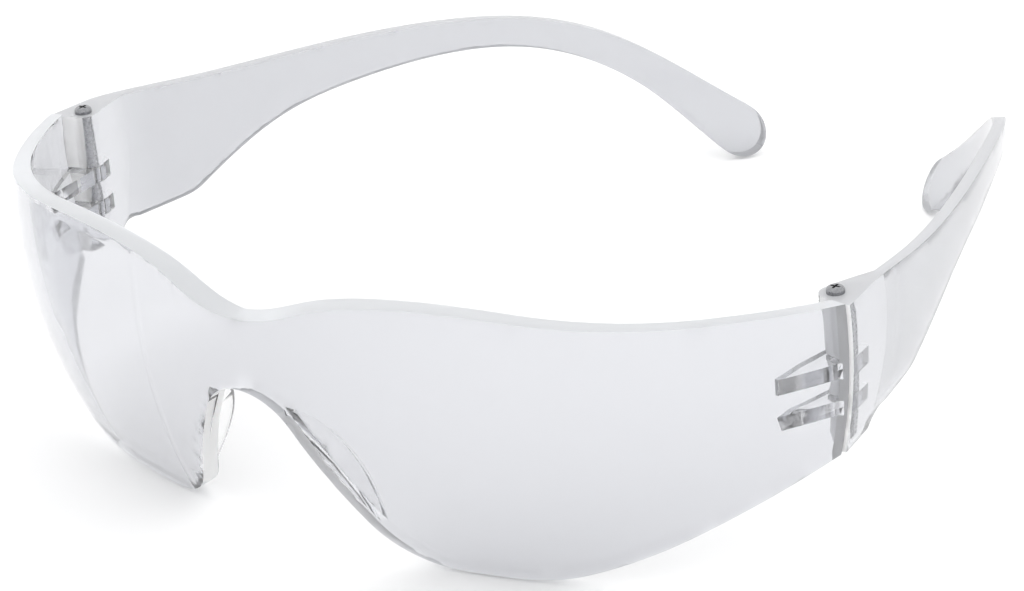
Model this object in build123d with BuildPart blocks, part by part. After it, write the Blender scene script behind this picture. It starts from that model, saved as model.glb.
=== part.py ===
"""Frameless one-piece safety glasses with folding clear side arms.

Millimetres. +X is the wearer's left, -Y is forward and +Z is up. The glasses stand open on a flat
surface: both lobes of the lens and both arm tips touch Z = 0. The origin is the centre of the
footprint. The lens is symmetric about the plane X = 0 and the arms are mirror images; the right
arm stands fully open and the left one is turned in by LEFT_ARM_REST_FOLD.
"""
from build123d import *
from math import cos, radians, sin, tan
import os

# Hinge: both screw axes are vertical, at X = +-HINGE_X.
HINGE_X = 72.3
HINGE_Y = -35.1
HINGE_CLEARANCE = 0.15

# Straight cuts that trim a part to its outline reach this far to both sides.
TRIM_REACH = 120.0

# Lens, outer surface in plan: four tangent arcs from the nose to the hinge, as (radius, turn).
NOSE_FRONT_Y = HINGE_Y - 45.95
NOSE_ARC = (65.2, 10.5)
FRONT_ARC = (400.0, 4.6)
CORNER_ARC = (40.3, 37.8)
SIDE_ARC = (93.6, 26.0)
LENS_END_Y = HINGE_Y - 3.2
LENS_HALF_WIDTH = 76.5

# Lens, outer surface in side view: one arc that is widest at EQUATOR_Z.
VERTICAL_RADIUS = 78.0
EQUATOR_Z = 35.0

# The inner surface is the outer one moved in by WALL_ALL_ROUND and then back by WALL_FRONT_EXTRA,
# so the lens is thickest in front and tapers towards the hinges.
WALL_ALL_ROUND = 1.3
WALL_FRONT_EXTRA = 2.0
LENS_BLANK_DEPTH = 18.0
LENS_BLANK_LOW = -2.0
LENS_BLANK_HIGH = 48.0

# Lens outline of one eye, drawn square to a line LENS_VIEW_ANGLE out from straight ahead.
LENS_VIEW_ANGLE = 42.0
BROW_DIP_Z = 39.1
BROW_RISE = (-19.8, 42.1)
BROW_TOP = (-8.1, 44.2)
BROW_MIDDLE = (14.2, 43.8)
TEMPLE_CORNER_TOP = (58.0, 40.2)
TEMPLE_CORNER_FALL = 5.1
LOBE_OUTER_START = 4.5
LOBE_OUTER_RADIUS = 30.0
LOBE_OUTER_SLOPE = 21.5
NOSE_OVERLAP = 20.0

# Nose notch, front view: an arch, two straight flanks and the rounded inner corner of each lobe.
BRIDGE_UNDERSIDE_Z = 27.6
ARCH_RADIUS = 9.0
FLANK_ANGLE = 62.0
LOBE_INNER_RADIUS = 14.0
NOTCH_OPEN_BELOW = 5.0

# Nose flanges: half-moon fins behind the flanks, flared outwards towards the face.
FLANGE_THICKNESS = 1.3
FLANGE_FLARE = 7.0
FLANGE_BAND_EXTRA = 0.3
FLANGE_REACH = 16.0
FLANGE_ROOT_Y = HINGE_Y - 40.6
FLANGE_FRONT = [(-43.2, 25.5), (-40.8, 15.3), (-37.4, 6.6)]
FLANGE_BACK = [(-36.4, 5.7), (-35.3, 16.2), (-41.9, 25.9)]

# Hinge stack, from the top: ear, fin, middle knuckle, fin, lower knuckle.
EAR_TOP_Z = 40.2
UPPER_FIN = (29.0, 31.4)
LOWER_FIN = (23.3, 25.6)
KNUCKLE_RADIUS = 2.4
KNUCKLE_FRONT_X = 1.7
FIN_OUTLINE = [(-3.3, -11.6), (-1.6, -11.6), (-0.2, -10.0), (2.9, -3.2)]

# Screw.
HEAD_RADIUS = 1.35
HEAD_HEIGHT = 0.95
SHANK_RADIUS = 0.8
SHANK_END_Z = 18.6
BORE_CLEARANCE = 0.04
RECESS_LENGTH = 1.5
RECESS_WIDTH = 0.36
RECESS_DEPTH = 0.55
HEAD_ROUNDING = 0.57

# Hinge block in plan, left arm: inboard side from the barrel back to the blade, from the axis.
BLOCK_INBOARD = [(-2.28, 0.7), (0.1, 8.0), (1.2, 11.4)]
BLOCK_OUTBOARD_X = 6.0
BLOCK_SINK = 0.63
BLOCK_SWEEP_DEPTH = 16.0
SLOT_FRONT = 12.0
SLOT_SIDE = 2.6
SLOT_BACK = 2.6

# Side arm, outer surface in plan: two tangent arcs from the lens to the tip, as (radius, turn).
ARM_START_ANGLE = 4.0
ARM_FRONT_ARC = (299.0, 17.3)
ARM_REAR_ARC = (118.0, 36.0)
ARM_LEAD = 5.0
ARM_THICKNESS = 1.9
ARM_BLANK_DEPTH = 25.0
ARM_BLANK_LOW = -3.0
ARM_BLANK_HIGH = 44.2
ARM_VIEW_ANGLE = 26.5
LEFT_ARM_REST_FOLD = 5.35

# Side arm outline, drawn square to a line ARM_VIEW_ANGLE back from straight sideways, as
# (distance behind the hinge axis, height).
ARM_TOP = [(20.6, 37.7), (50.5, 35.0), (78.3, 31.4), (103.0, 22.7)]
ARM_BOTTOM = [(107.1, 12.6), (90.7, 23.0), (72.1, 27.2), (51.5, 27.6), (35.5, 25.4), (21.6, 20.1)]
ARM_TIP_CENTRE = (120.3, 4.4)
ARM_TIP_RADIUS = 4.4
ARM_TIP_SLOPES = (36.0, 48.0)
ARM_TIP_END_ANGLE = 6.0
EAR_FLAT_END = 3.0
BLOCK_BOTTOM = [(8.2, 19.1), (4.8, 18.7), (3.4, 17.3), (-8.0, 17.0)]


def side_view_plane(angle, centre_x):
    """Upright plane at the hinge line that faces out along the given angle from straight ahead."""
    outward = (sin(radians(angle)), -cos(radians(angle)), 0)
    across = (cos(radians(angle)), sin(radians(angle)), 0)
    return Plane(origin=(centre_x, HINGE_Y, 0), x_dir=across, z_dir=outward)


def lens_plan(inset, setback):
    """Plan path of a lens surface for the wearer's left eye, from the nose past the hinge end."""
    with BuildLine() as path:
        start = (0, NOSE_FRONT_Y + inset + setback)
        nose = JernArc(start, (1, 0), NOSE_ARC[0] - inset, NOSE_ARC[1])
        front = JernArc(nose @ 1, nose % 1, FRONT_ARC[0] - inset, FRONT_ARC[1])
        corner = JernArc(front @ 1, front % 1, CORNER_ARC[0] - inset, CORNER_ARC[1])
        JernArc(corner @ 1, corner % 1, SIDE_ARC[0] - inset, SIDE_ARC[1])
    return path.line


def upright_section(face_y, radius, depth, low, high, plane=Plane.YZ):
    """Upright section of everything behind an outer surface, down to a flat back."""
    def bulge(height):
        return face_y + radius - (radius**2 - (height - EQUATOR_Z) ** 2) ** 0.5

    back = face_y + depth
    with BuildSketch(plane) as section:
        with BuildLine():
            ThreePointArc((bulge(low), low), (face_y, EQUATOR_Z), (bulge(high), high))
            Polyline((bulge(high), high), (back, high), (back, low), (bulge(low), low))
        make_face()
    return section.sketch


def lens_outline():
    """Outline of the left eye area: brow line, hinge end and the outer part of the lobe."""
    nose_u = (NOSE_FRONT_Y - HINGE_Y) * sin(radians(LENS_VIEW_ANGLE))
    slope = radians(LOBE_OUTER_SLOPE)
    corner_fall = radians(TEMPLE_CORNER_FALL)
    nose_side = nose_u - NOSE_OVERLAP
    lobe_end = (
        LOBE_OUTER_START + LOBE_OUTER_RADIUS * sin(slope),
        LOBE_OUTER_RADIUS * (1 - cos(slope)),
    )
    end_u = TEMPLE_CORNER_TOP[0]
    end_low = (end_u, lobe_end[1] + (end_u - lobe_end[0]) * tan(slope))
    with BuildSketch(side_view_plane(LENS_VIEW_ANGLE, 0)) as outline:
        with BuildLine():
            brow = Spline(
                (nose_u, BROW_DIP_Z), BROW_RISE, BROW_TOP, BROW_MIDDLE, TEMPLE_CORNER_TOP,
                tangents=[(1, 0), (cos(corner_fall), -sin(corner_fall))],
            )
            Line(brow @ 1, end_low)
            Line(end_low, lobe_end)
            ThreePointArc(
                lobe_end,
                (
                    LOBE_OUTER_START + LOBE_OUTER_RADIUS * sin(slope / 2),
                    LOBE_OUTER_RADIUS * (1 - cos(slope / 2)),
                ),
                (LOBE_OUTER_START, 0),
            )
            Polyline((LOBE_OUTER_START, 0), (nose_side, 0), (nose_side, BROW_DIP_Z), brow @ 0)
        make_face()
    return outline.sketch


def notch_flank_points():
    """Ends of the straight flank of the notch and the foot of the lobe's rounded corner."""
    turn = radians(FLANK_ANGLE)
    top = (ARCH_RADIUS * sin(turn), BRIDGE_UNDERSIDE_Z - ARCH_RADIUS * (1 - cos(turn)))
    foot_z = LOBE_INNER_RADIUS * (1 - cos(turn))
    foot = (top[0] + (top[1] - foot_z) / tan(turn), foot_z)
    lobe = (foot[0] + LOBE_INNER_RADIUS * sin(turn), 0)
    return top, foot, lobe


def notch_outline():
    """Front view of the space for the nose, open downwards."""
    top, foot, lobe = notch_flank_points()
    half = radians(FLANK_ANGLE / 2)
    with BuildSketch(Plane.XZ) as notch:
        with BuildLine():
            ThreePointArc((-top[0], top[1]), (0, BRIDGE_UNDERSIDE_Z), top)
            for side in (-1, 1):
                Line((side * top[0], top[1]), (side * foot[0], foot[1]))
                ThreePointArc(
                    (side * foot[0], foot[1]),
                    (
                        side * (lobe[0] - LOBE_INNER_RADIUS * sin(half)),
                        LOBE_INNER_RADIUS * (1 - cos(half)),
                    ),
                    (side * lobe[0], 0),
                )
            below = -NOTCH_OPEN_BELOW
            Polyline((lobe[0], 0), (lobe[0], below), (-lobe[0], below), (-lobe[0], 0))
        make_face()
    return notch.sketch


def build_lens_shell():
    """Both eye areas and the bridge, with the nose notch cut out."""
    low, high = LENS_BLANK_LOW, LENS_BLANK_HIGH
    outer = upright_section(NOSE_FRONT_Y, VERTICAL_RADIUS, LENS_BLANK_DEPTH, low, high)
    inner_y = NOSE_FRONT_Y + WALL_ALL_ROUND + WALL_FRONT_EXTRA
    inner_radius = VERTICAL_RADIUS - WALL_ALL_ROUND
    inner = upright_section(inner_y, inner_radius, LENS_BLANK_DEPTH, low - 1, high + 1)
    with BuildPart() as shell:
        sweep(outer, path=lens_plan(0, 0))
        sweep(inner, path=lens_plan(WALL_ALL_ROUND, WALL_FRONT_EXTRA), mode=Mode.SUBTRACT)
        extrude(lens_outline(), amount=TRIM_REACH, both=True, mode=Mode.INTERSECT)
        split(bisect_by=Plane.XZ.offset(-LENS_END_Y), keep=Keep.TOP)
        mirror(about=Plane.YZ)
        extrude(notch_outline(), amount=TRIM_REACH, both=True, mode=Mode.SUBTRACT)
    return shell.part


def flange_band(side):
    """Front view of one nose flange: a straight strip along the flank of the notch."""
    top, foot, _ = notch_flank_points()
    run = (foot[0] - top[0], foot[1] - top[1])
    outward = Vector(-run[1], run[0]).normalized() * FLANGE_THICKNESS
    extra = (run[0] * FLANGE_BAND_EXTRA, run[1] * FLANGE_BAND_EXTRA)
    high = Vector(top[0] - extra[0], top[1] - extra[1])
    low = Vector(foot[0] + extra[0], foot[1] + extra[1])
    corners = [high, low, low + outward, high + outward]
    with BuildSketch(Plane.XZ.offset(-FLANGE_ROOT_Y)) as band:
        with BuildLine():
            Polyline(*[(side * corner.X, corner.Y) for corner in corners], close=True)
        make_face()
    return band.sketch


def build_flange(side):
    """Half-moon flange, held inside the wall in front and rounded out towards the face."""
    flare = (side * sin(radians(FLANGE_FLARE)), cos(radians(FLANGE_FLARE)), 0)
    front = [(HINGE_Y + y, z) for y, z in FLANGE_FRONT]
    back = [(HINGE_Y + y, z) for y, z in FLANGE_BACK]
    with BuildPart() as flange:
        extrude(flange_band(side), amount=FLANGE_REACH, dir=flare, both=True)
        with BuildSketch(Plane.YZ):
            with BuildLine():
                ThreePointArc(*front)
                Line(front[-1], back[0])
                ThreePointArc(*back)
                Line(back[-1], front[0])
            make_face()
        extrude(amount=TRIM_REACH, both=True, mode=Mode.INTERSECT)
    return flange.part


def build_fin(side, levels):
    """Horizontal hinge fin: a gusset on the inner face of the lens and an eye for the screw."""
    low, high = levels
    barrel_side = [(KNUCKLE_RADIUS, FIN_OUTLINE[-1][1]), (KNUCKLE_RADIUS, 0)]
    gusset = [(-KNUCKLE_RADIUS, 0), *FIN_OUTLINE, *barrel_side]
    corners = [(side * (HINGE_X + x), HINGE_Y + y) for x, y in gusset]
    with BuildPart() as fin:
        with BuildSketch(Plane.XY.offset(low)):
            with BuildLine():
                Polyline(*corners, close=True)
            make_face()
            with Locations((side * HINGE_X, HINGE_Y)):
                Circle(KNUCKLE_RADIUS)
                Circle(SHANK_RADIUS + BORE_CLEARANCE, mode=Mode.SUBTRACT)
        extrude(amount=high - low)
    return fin.part


def build_lens():
    """The whole lens moulding."""
    with BuildPart() as lens:
        add(build_lens_shell())
        for side in (-1, 1):
            add(build_flange(side))
            add(build_fin(side, UPPER_FIN))
            add(build_fin(side, LOWER_FIN))
    return lens.part


def arm_plan(inset):
    """Plan path of a surface of the left arm, from just ahead of the hinge to past the tip."""
    angle = radians(ARM_START_ANGLE)
    start = (
        LENS_HALF_WIDTH + ARM_LEAD * sin(angle) - inset * cos(angle),
        LENS_END_Y - ARM_LEAD * cos(angle) - inset * sin(angle),
    )
    with BuildLine() as path:
        front = JernArc(start, (-sin(angle), cos(angle)), ARM_FRONT_ARC[0] - inset, ARM_FRONT_ARC[1])
        JernArc(front @ 1, front % 1, ARM_REAR_ARC[0] - inset, ARM_REAR_ARC[1])
    return path.line


def arm_sweep(inset, depth, low, high):
    """Everything inboard of the left arm's outer surface, moved in by inset, down to a depth."""
    path = arm_plan(inset)
    start = path @ 0
    angle = radians(ARM_START_ANGLE)
    inboard = (-cos(angle), -sin(angle), 0)
    backward = (-sin(angle), cos(angle), 0)
    plane = Plane(origin=start, x_dir=inboard, z_dir=backward)
    section = upright_section(0, VERTICAL_RADIUS - inset, depth, low, high, plane)
    return sweep(section, path=path, mode=Mode.PRIVATE)


def arm_outline():
    """Side view of the left arm, from the ear down over the rear bend to the rounded tip."""
    top_slope, bottom_slope = (radians(slope) for slope in ARM_TIP_SLOPES)
    tip_end_angle = radians(ARM_TIP_END_ANGLE)
    tip_u, tip_z = ARM_TIP_CENTRE
    tip_top = (tip_u + ARM_TIP_RADIUS * sin(top_slope), tip_z + ARM_TIP_RADIUS * cos(top_slope))
    tip_bottom = (
        tip_u - ARM_TIP_RADIUS * sin(bottom_slope),
        tip_z - ARM_TIP_RADIUS * cos(bottom_slope),
    )
    tip_end = (
        tip_u + ARM_TIP_RADIUS * cos(tip_end_angle),
        tip_z - ARM_TIP_RADIUS * sin(tip_end_angle),
    )
    ear_front = (BLOCK_BOTTOM[-1][0], EAR_TOP_Z)
    ear_back = (EAR_FLAT_END, EAR_TOP_Z)
    with BuildSketch(side_view_plane(90 + ARM_VIEW_ANGLE, HINGE_X)) as outline:
        with BuildLine():
            Line(ear_front, ear_back)
            Spline(
                ear_back, *ARM_TOP, tip_top,
                tangents=[(1, -0.1), (cos(top_slope), -sin(top_slope))],
            )
            ThreePointArc(tip_top, tip_end, tip_bottom)
            Spline(
                tip_bottom, *ARM_BOTTOM, BLOCK_BOTTOM[0],
                tangents=[(-cos(bottom_slope), sin(bottom_slope)), (-1, 0)],
            )
            ThreePointArc(*BLOCK_BOTTOM[:3])
            Line(BLOCK_BOTTOM[2], BLOCK_BOTTOM[3])
            Line(BLOCK_BOTTOM[3], ear_front)
        make_face()
    return outline.sketch


def block_plan():
    """Plan of the hinge block: a barrel round the screw that widens back into the blade."""
    front_y = LENS_END_Y + HINGE_CLEARANCE
    inboard = [(HINGE_X + x, HINGE_Y + y) for x, y in BLOCK_INBOARD]
    outboard_x = HINGE_X + BLOCK_OUTBOARD_X
    with BuildSketch(Plane.XY) as plan:
        with BuildLine():
            Polyline(
                (HINGE_X, HINGE_Y - KNUCKLE_RADIUS),
                (HINGE_X + KNUCKLE_FRONT_X, front_y),
                (outboard_x, front_y),
                (outboard_x, inboard[-1][1]),
                *reversed(inboard),
                close=True,
            )
        make_face()
        with Locations((HINGE_X, HINGE_Y)):
            Circle(KNUCKLE_RADIUS)
    return plan.sketch


def build_left_arm():
    """Hinge block and blade of the left arm, with the slots for the fins and the screw bore."""
    slot_low_corner = (HINGE_X - SLOT_FRONT, LENS_END_Y - 1)
    slot_size = (SLOT_FRONT + SLOT_SIDE, HINGE_Y + SLOT_BACK - slot_low_corner[1])
    slot_centre = (slot_low_corner[0] + slot_size[0] / 2, slot_low_corner[1] + slot_size[1] / 2)
    low, high = ARM_BLANK_LOW, ARM_BLANK_HIGH
    with BuildPart() as block:
        extrude(block_plan(), amount=EAR_TOP_Z + 1)
        add(arm_sweep(BLOCK_SINK, BLOCK_SWEEP_DEPTH, low, high), mode=Mode.INTERSECT)
    with BuildPart() as arm:
        add(arm_sweep(0, ARM_BLANK_DEPTH, low, high))
        add(arm_sweep(ARM_THICKNESS, ARM_BLANK_DEPTH, low - 1, high + 1), mode=Mode.SUBTRACT)
        add(block.part)
        extrude(arm_outline(), amount=TRIM_REACH, both=True, mode=Mode.INTERSECT)
        split(bisect_by=Plane.XZ.offset(-LENS_END_Y - HINGE_CLEARANCE), keep=Keep.BOTTOM)
        for fin_low, fin_high in (UPPER_FIN, LOWER_FIN):
            with BuildSketch(Plane.XY.offset(fin_low - HINGE_CLEARANCE)):
                with Locations(slot_centre):
                    Rectangle(*slot_size)
            extrude(amount=fin_high - fin_low + 2 * HINGE_CLEARANCE, mode=Mode.SUBTRACT)
        with BuildSketch(Plane.XY.offset(SHANK_END_Z)):
            with Locations((HINGE_X, HINGE_Y)):
                Circle(SHANK_RADIUS)
        extrude(amount=EAR_TOP_Z, mode=Mode.SUBTRACT)
    return arm.part


def build_left_screw():
    """Pan-head screw with a cross recess, its head on the ear and its shank down the barrel."""
    with BuildPart() as screw:
        with BuildSketch(Plane.XY.offset(SHANK_END_Z)):
            with Locations((HINGE_X, HINGE_Y)):
                Circle(SHANK_RADIUS)
        extrude(amount=EAR_TOP_Z - SHANK_END_Z)
        with BuildSketch(Plane.XY.offset(EAR_TOP_Z)):
            with Locations((HINGE_X, HINGE_Y)):
                Circle(HEAD_RADIUS)
        extrude(amount=HEAD_HEIGHT)
        fillet(screw.edges().group_by(Axis.Z)[-1], HEAD_ROUNDING)
        for turn in (0, 90):
            with BuildSketch(Plane.XY.offset(EAR_TOP_Z + HEAD_HEIGHT - RECESS_DEPTH)):
                with Locations((HINGE_X, HINGE_Y)):
                    Rectangle(RECESS_LENGTH, RECESS_WIDTH, rotation=turn)
            extrude(amount=RECESS_DEPTH, mode=Mode.SUBTRACT)
    return screw.part


def write_node(name, solid):
    """Write one labelled sub-part as its own STEP file."""
    solid.label = name
    export_step(solid, f"parts/{name}.step")


os.makedirs("parts", exist_ok=True)
write_node("lens", build_lens())
left_arm = build_left_arm()
left_screw = build_left_screw()
left_hinge_axis = Axis((HINGE_X, HINGE_Y, 0), (0, 0, 1))
write_node("temple_left", left_arm.rotate(left_hinge_axis, LEFT_ARM_REST_FOLD))
write_node("screw_left", left_screw.rotate(left_hinge_axis, LEFT_ARM_REST_FOLD))
write_node("temple_right", left_arm.mirror(Plane.YZ))
write_node("screw_right", left_screw.mirror(Plane.YZ))
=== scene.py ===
"""Looks of the clear one-piece safety glasses: polished polycarbonate lens, moulded arms, steel screws.

Metres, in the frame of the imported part: +Z up, -Y forward, +X the wearer's left.
"""
import math

import bpy
from mathutils import Matrix, Vector

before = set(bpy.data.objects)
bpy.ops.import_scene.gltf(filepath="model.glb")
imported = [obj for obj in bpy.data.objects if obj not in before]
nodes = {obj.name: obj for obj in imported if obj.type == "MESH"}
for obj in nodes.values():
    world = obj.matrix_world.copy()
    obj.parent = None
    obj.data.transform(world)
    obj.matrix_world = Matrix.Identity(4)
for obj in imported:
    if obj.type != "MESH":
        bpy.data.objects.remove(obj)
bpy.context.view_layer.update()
MM = 0.001
SIDES = {"left": 1, "right": -1}
HINGE_X = 72.3 * MM
HINGE_Y = -35.1 * MM
HEAD_UNDERSIDE = 40.15 * MM
LENS_FRONT_Y = -81.05 * MM
LENS_EQUATOR = 35.0 * MM
LENS_UPRIGHT_RADIUS = 78.0 * MM
LENS_NOSE_RADIUS = 65.2 * MM
LENS_WALL = 3.5 * MM
NOSE_HALF_WIDTH = 35 * MM

# The hinge zone: inboard limit, front and back ends, and the heights of the fins and their slots.
HINGE_ZONE_X = HINGE_X - 6.8 * MM
HINGE_ZONE_FRONT = HINGE_Y - 12.7 * MM
HINGE_ZONE_BACK = HINGE_Y + 7 * MM
FINS_LOW = 20.5 * MM
FINS_HIGH = 33.5 * MM

# Along the arm, the clear hinge block turns into the milkier blade between these two places.
BLOCK_END = HINGE_Y + 4 * MM
BLADE_START = HINGE_Y + 18 * MM

# Sizes of a normal's parts: above these a face is level or faces forwards, below it faces sideways.
LEVEL_NORMAL = 0.75
FORWARD_NORMAL = 0.8
SIDEWAYS_NORMAL = 0.26
HALF = 0.5


# ---------------------------------------------------------------- colours and node trees
def linear(hex_colour):
    """sRGB hex, such as "c8c9cc", to linear red, green, blue and alpha."""
    channels = [int(hex_colour[i:i + 2], 16) / 255 for i in (0, 2, 4)]
    return [c / 12.92 if c <= 0.04045 else ((c + 0.055) / 1.055) ** 2.4 for c in channels] + [1.0]


def add_node(material, kind, inputs=None, **settings):
    """Adds one node, applies its settings, and gives each input a value, a node or a socket."""
    node = material.node_tree.nodes.new("ShaderNode" + kind)
    for name, value in settings.items():
        setattr(node, name, value)
    for name, value in (inputs or {}).items():
        if isinstance(name, int):
            socket = node.inputs[name]
        else:
            socket = next(i for i in node.inputs if i.name == name and i.enabled)
        if isinstance(value, bpy.types.Node):
            value = next(output for output in value.outputs if output.enabled)
        if isinstance(value, bpy.types.NodeSocket):
            material.node_tree.links.new(value, socket)
        else:
            socket.default_value = value
    return node


def where(material, *tests):
    """1 where every test holds and 0 elsewhere; a test is a source, a comparison and a limit."""
    mask = 1.0
    for source, comparison, limit in tests:
        test = add_node(material, "Math", {0: source, 1: limit}, operation=comparison)
        mask = add_node(material, "Math", {0: mask, 1: test}, operation="MULTIPLY")
    return mask


def new_material(name):
    """A node material with nothing in it yet."""
    material = bpy.data.materials.new(name)
    material.use_nodes = True
    material.node_tree.nodes.clear()
    return material


# ---------------------------------------------------------------- materials
POLYCARBONATE_IOR = 1.585
FLOW_WAVE = 11 * MM
HAZE_GRAIN = 0.8 * MM
MOULD_GRAIN = 0.25 * MM
OPTICAL_ZONE_EDGES = (22 * MM, 57 * MM)
FLOW_DEPTH = 0.05 * MM
GRAIN_DEPTH = 0.03 * MM
ZONE_STEP = 0.04 * MM
ZONE_EDGE_BLUR = 0.4 * MM
HANDLING_WEAR = 0.06
RIM_GRAIN = 0.35
RIM_ROUGHNESS = 0.4
RIM_MILKINESS = 0.6
LATHE_PITCH = 0.12 * MM
FILM_PATCH = 0.5 * MM
RING_DEPTH = 0.01 * MM


def depth_behind_front(material, at):
    """Distance behind the front surface of the lens near the nose, which bulges both ways."""
    height = add_node(material, "Math", {0: at.outputs["Z"], 1: LENS_EQUATOR}, operation="SUBTRACT")
    height_squared = add_node(material, "Math", {0: height, 1: 2.0}, operation="POWER")
    drop = add_node(material, "Math", {0: height_squared, 1: 2 * LENS_UPRIGHT_RADIUS},
                    operation="DIVIDE")
    x_squared = add_node(material, "Math", {0: at.outputs["X"], 1: 2.0}, operation="POWER")
    wrap = add_node(material, "Math", {0: x_squared, 1: 2 * LENS_NOSE_RADIUS}, operation="DIVIDE")
    curve = add_node(material, "Math", {0: drop, 1: wrap}, operation="ADD")
    front = add_node(material, "Math", {0: curve, 1: LENS_FRONT_Y}, operation="ADD")
    return add_node(material, "Math", {0: at.outputs["Y"], 1: front}, operation="SUBTRACT")


def surface_masks(material, place, is_lens):
    """Two masks. Dull rims are the top and bottom edges of a part, the cut edge of the nose notch and the
    faces at the hinge gap. The painted-light mask covers all faces inside the hinge and the sides of the
    notch and its flanges: these sit in shade, and their tint is painted white there as painted light."""
    at = add_node(material, "SeparateXYZ", {0: place.outputs["Object"]})
    normal = add_node(material, "SeparateXYZ", {0: place.outputs["Normal"]})
    at_x = add_node(material, "Math", {0: at.outputs["X"]}, operation="ABSOLUTE")
    normal_y = add_node(material, "Math", {0: normal.outputs["Y"]}, operation="ABSOLUTE")
    normal_z = add_node(material, "Math", {0: normal.outputs["Z"]}, operation="ABSOLUTE")
    level = where(material, (normal_z, "GREATER_THAN", LEVEL_NORMAL))
    hinge = where(material, (at_x, "GREATER_THAN", HINGE_ZONE_X),
                  (at.outputs["Y"], "GREATER_THAN", HINGE_ZONE_FRONT),
                  (at.outputs["Y"], "LESS_THAN", HINGE_ZONE_BACK))
    hinge_level = where(material, (level, "GREATER_THAN", HALF), (hinge, "GREATER_THAN", HALF),
                        (at.outputs["Z"], "GREATER_THAN", FINS_LOW),
                        (at.outputs["Z"], "LESS_THAN", FINS_HIGH))
    rims = where(material, (level, "GREATER_THAN", HALF), (hinge_level, "LESS_THAN", HALF))
    hinge_ends = where(material, (hinge, "GREATER_THAN", HALF), (normal_y, "GREATER_THAN", FORWARD_NORMAL))
    # Painted light: faces inside the hinge and the hinge ends sit in shade, and this mask paints their
    # tint white so they look lit.
    painted_light = add_node(material, "Math", {0: hinge_level, 1: hinge_ends}, operation="MAXIMUM")
    rims = add_node(material, "Math", {0: rims, 1: hinge_ends}, operation="MAXIMUM")
    if not is_lens:
        return rims, painted_light
    notch = where(material, (at_x, "LESS_THAN", NOSE_HALF_WIDTH), (normal_y, "LESS_THAN", SIDEWAYS_NORMAL),
                  (normal_z, "LESS_THAN", LEVEL_NORMAL))
    cut_edge = where(material, (notch, "GREATER_THAN", HALF),
                     (depth_behind_front(material, at), "LESS_THAN", LENS_WALL))
    # The notch sides and flanges also sit in shade and join the painted-light mask, so they are painted
    # white too.
    return (add_node(material, "Math", {0: rims, 1: cut_edge}, operation="MAXIMUM"),
            add_node(material, "Math", {0: painted_light, 1: notch}, operation="MAXIMUM"))


def clear_polycarbonate(name, tint, rim_tint, gloss, waviness, milkiness, is_lens):
    """Clear injection-moulded polycarbonate. It gives a see-through sheet with a faint grey cast and
    soft reflections, because moulding leaves shallow flow waves and handling leaves a fine haze.
    The rims are duller than the faces, because they keep the grain of the mould; on the lens their tint is
    also painted whiter, a painted glow of light along the edges. The grain of the mould is drawn coarser
    than the real one, which would be too fine to show."""
    material = new_material(name)
    place = add_node(material, "TexCoord")
    at = place.outputs["Object"]
    rims, painted_light = surface_masks(material, place, is_lens)
    flow = add_node(material, "TexNoise",
                    {"Vector": at, "Scale": 1 / FLOW_WAVE, "Detail": 2.0, "Roughness": 0.4})
    haze = add_node(material, "TexNoise",
                    {"Vector": at, "Scale": 1 / HAZE_GRAIN, "Detail": 3.0, "Roughness": 0.6})
    grain = add_node(material, "TexNoise",
                     {"Vector": at, "Scale": 1 / MOULD_GRAIN, "Detail": 2.0, "Roughness": 0.5})
    handled = add_node(material, "MapRange", {"Value": haze, "From Min": 0.35, "From Max": 0.75,
                                              "To Min": gloss, "To Max": gloss + HANDLING_WEAR})
    roughness = add_node(material, "Mix", {"Factor": rims, "A": handled, "B": RIM_ROUGHNESS})
    # Rims take rim_tint: on the lens this is a painted glow, a whiter tint standing in for light along the
    # frosted edges.
    outer_tint = add_node(material, "Mix", {"Factor": rims, "A": linear(tint), "B": linear(rim_tint)},
                          data_type="RGBA")
    # Painted light: where the painted-light mask is on, the tint is painted white in place of the shade on
    # hinge and notch faces.
    colour = add_node(material, "Mix", {"Factor": painted_light, "A": outer_tint, "B": linear("ffffff")},
                      data_type="RGBA")
    waves = add_node(material, "Bump",
                     {"Height": flow, "Strength": waviness, "Distance": FLOW_DEPTH})
    grain_strength = add_node(material, "Math", {0: rims, 1: RIM_GRAIN}, operation="MULTIPLY")
    surface = add_node(material, "Bump", {"Height": grain, "Strength": grain_strength,
                                          "Distance": GRAIN_DEPTH, "Normal": waves})
    if is_lens:
        at_x = add_node(material, "Math", {0: add_node(material, "SeparateXYZ", {0: at})},
                        operation="ABSOLUTE")
        for zone_edge in OPTICAL_ZONE_EDGES:
            step = add_node(material, "MapRange",
                            {"Value": at_x, "From Min": zone_edge - ZONE_EDGE_BLUR,
                             "From Max": zone_edge + ZONE_EDGE_BLUR}, interpolation_type="SMOOTHSTEP")
            surface = add_node(material, "Bump", {"Height": step, "Strength": 0.5,
                                                  "Distance": ZONE_STEP, "Normal": surface})
    behind = add_node(material, "SeparateXYZ", {0: at}).outputs["Y"]
    milk = add_node(material, "MapRange",
                    {"Value": behind, "From Min": BLOCK_END, "From Max": BLADE_START,
                     "To Min": milkiness / 3, "To Max": milkiness}, interpolation_type="SMOOTHSTEP")
    rim_milk = add_node(material, "Math", {0: rims, 1: RIM_MILKINESS}, operation="MULTIPLY")
    cloudy = add_node(material, "Math", {0: milk, 1: rim_milk}, operation="MAXIMUM")
    clear = add_node(material, "Math", {0: 1.0, 1: cloudy}, operation="SUBTRACT")
    plastic = add_node(material, "BsdfPrincipled",
                       {"Base Color": colour, "Roughness": roughness, "Normal": surface,
                        "Transmission Weight": clear, "IOR": POLYCARBONATE_IOR, "Metallic": 0.0})
    add_node(material, "OutputMaterial", {"Surface": plastic})
    return material


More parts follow.
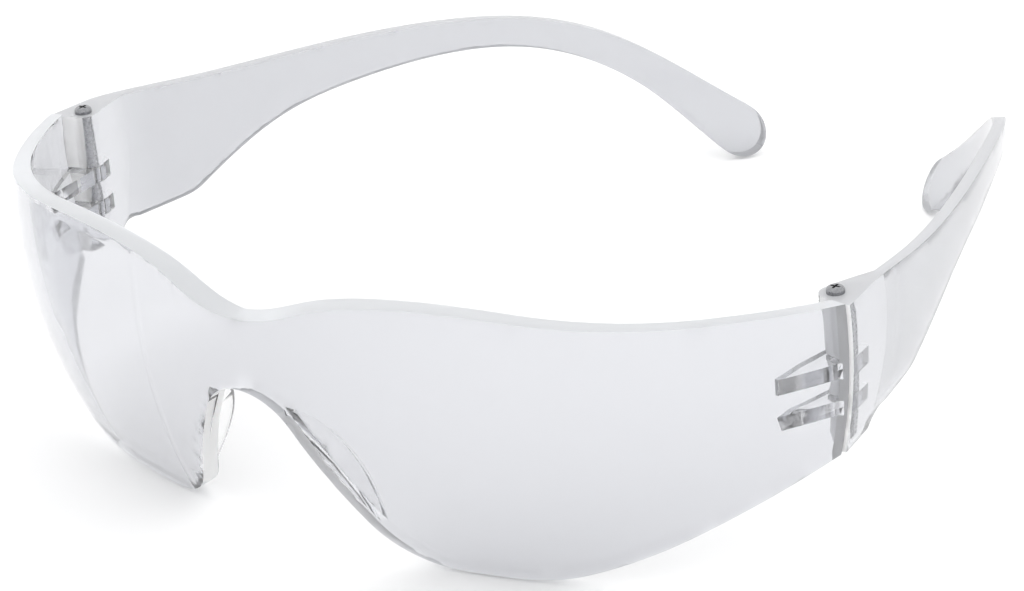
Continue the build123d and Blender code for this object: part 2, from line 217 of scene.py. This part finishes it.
def machined_steel(name, side):
    """Machined screw steel. The head is dark and semi-bright, with fine lathe rings round the axis and a
    patchy film of handling; the shank is painted bright as painted light, so that it does not sit dark in
    the shade inside the hinge."""
    material = new_material(name)
    at = add_node(material, "TexCoord").outputs["Object"]
    from_axis = add_node(material, "VectorMath", {0: at, 1: (side * HINGE_X, HINGE_Y, 0)},
                         operation="SUBTRACT")
    flat = add_node(material, "VectorMath", {0: from_axis, 1: (1, 1, 0)}, operation="MULTIPLY")
    radius = add_node(material, "VectorMath", {0: flat}, operation="LENGTH")
    turns = add_node(material, "Math", {0: radius, 1: 2 * math.pi / LATHE_PITCH}, operation="MULTIPLY")
    rings = add_node(material, "Math", {0: turns}, operation="SINE")
    film = add_node(material, "TexNoise",
                    {"Vector": at, "Scale": 1 / FILM_PATCH, "Detail": 3.0, "Roughness": 0.6})
    bump = add_node(material, "Bump", {"Height": rings, "Strength": 0.3, "Distance": RING_DEPTH})
    height = add_node(material, "SeparateXYZ", {0: at}).outputs["Z"]
    head = where(material, (height, "GREATER_THAN", HEAD_UNDERSIDE))
    handled = add_node(material, "Mix", {"Factor": film, "A": linear("6f7073"), "B": linear("a6a7aa")},
                       data_type="RGBA")
    # Painted light: the shank below the head is painted near white so it does not show dark in the shade
    # inside the hinge; the head keeps its dark handled steel.
    colour = add_node(material, "Mix", {"Factor": head, "A": linear("f2f2f3"), "B": handled},
                      data_type="RGBA")
    roughness = add_node(material, "MapRange", {"Value": film, "From Min": 0.3, "From Max": 0.7,
                                                "To Min": 0.2, "To Max": 0.36})
    steel = add_node(material, "BsdfPrincipled", {"Base Color": colour, "Roughness": roughness,
                                                  "Normal": bump, "Metallic": 1.0})
    add_node(material, "OutputMaterial", {"Surface": steel})
    return material


# ---------------------------------------------------------------- dressing the parts
MOULD_EDGE_RADIUS = 0.25 * MM
BEVEL_FROM = math.radians(35)
WELD_DISTANCE = 0.001 * MM


def soften_edges(part, width):
    """Rounds the sharp edges of a part inwards, as the mould leaves them."""
    weld = part.modifiers.new("weld", "WELD")
    weld.merge_threshold = WELD_DISTANCE
    bevel = part.modifiers.new("soft_edges", "BEVEL")
    bevel.width = width
    bevel.segments = 2
    bevel.limit_method = "ANGLE"
    bevel.angle_limit = BEVEL_FROM
    bevel.harden_normals = True


def dress(part, material):
    """Gives a part its only material."""
    part.data.materials.clear()
    part.data.materials.append(material)


# The lens rim tint is painted lighter than its faces as a painted glow along the edges; the arms' rim tint
# matches their faces.
lens_plastic = clear_polycarbonate("polycarbonate_polished", "dadbdf", "eceef1", 0.01, 0.12, 0.1, True)
arm_plastic = clear_polycarbonate("polycarbonate_moulded", "d6d7db", "d6d7da", 0.12, 0.3, 0.3, False)
dress(nodes["lens"], lens_plastic)
for side_name, side in SIDES.items():
    dress(nodes["temple_" + side_name], arm_plastic)
    dress(nodes["screw_" + side_name], machined_steel("machined_steel_" + side_name, side))
for part_name in ("lens", "temple_left", "temple_right"):
    soften_edges(nodes[part_name], MOULD_EDGE_RADIUS)

# ---------------------------------------------------------------- floor, light and camera
FLOOR_HALF = 6.0
FLOOR_GAP = 0.5 * MM
STUDIO_LIGHT = 1.3
LIGHT_BOUNCES = 32
floor_mesh = bpy.data.meshes.new("floor")
floor_mesh.from_pydata(
    [(-FLOOR_HALF, -FLOOR_HALF, 0), (FLOOR_HALF, -FLOOR_HALF, 0), (FLOOR_HALF, FLOOR_HALF, 0),
     (-FLOOR_HALF, FLOOR_HALF, 0)], [], [(0, 1, 2, 3)])
floor = bpy.data.objects.new("floor", floor_mesh)
floor.location.z = -FLOOR_GAP
bpy.context.scene.collection.objects.link(floor)
floor_paint = new_material("matt_white_paint")
paint = add_node(floor_paint, "BsdfPrincipled", {"Base Color": linear("fbfbfb"), "Roughness": 0.9})
add_node(floor_paint, "OutputMaterial", {"Surface": paint})
floor_mesh.materials.append(floor_paint)

world = bpy.data.worlds.new("studio")
bpy.context.scene.world = world
world.use_nodes = True
studio = world.node_tree.nodes["Background"]
studio.inputs["Color"].default_value = (1, 1, 1, 1)
studio.inputs["Strength"].default_value = STUDIO_LIGHT
bpy.context.scene.view_settings.view_transform = "Standard"
bpy.context.scene.cycles.max_bounces = LIGHT_BOUNCES
bpy.context.scene.cycles.transmission_bounces = LIGHT_BOUNCES

CAMERA_PLACE = Vector((387.69, -472.13, 286.39)) * MM
CAMERA_LENS = 149.88
CAMERA_ANGLES = (40.574, 24.278, -5.173)
camera_data = bpy.data.cameras.new("camera")
camera = bpy.data.objects.new("camera", camera_data)
bpy.context.scene.collection.objects.link(camera)
bpy.context.scene.camera = camera
camera_data.sensor_width = 36.0
camera_data.lens = CAMERA_LENS
camera_data.clip_start = 0.01
azimuth, elevation, roll = (math.radians(angle) for angle in CAMERA_ANGLES)
look = Vector((-math.sin(azimuth) * math.cos(elevation), math.cos(azimuth) * math.cos(elevation),
               -math.sin(elevation)))
level_right = Vector((math.cos(azimuth), math.sin(azimuth), 0))
level_up = level_right.cross(look)
right = math.cos(roll) * level_right + math.sin(roll) * level_up
up = -math.sin(roll) * level_right + math.cos(roll) * level_up
turn = Matrix((right, up, -look)).transposed()
camera.matrix_world = Matrix.Translation(CAMERA_PLACE) @ turn.to_4x4()
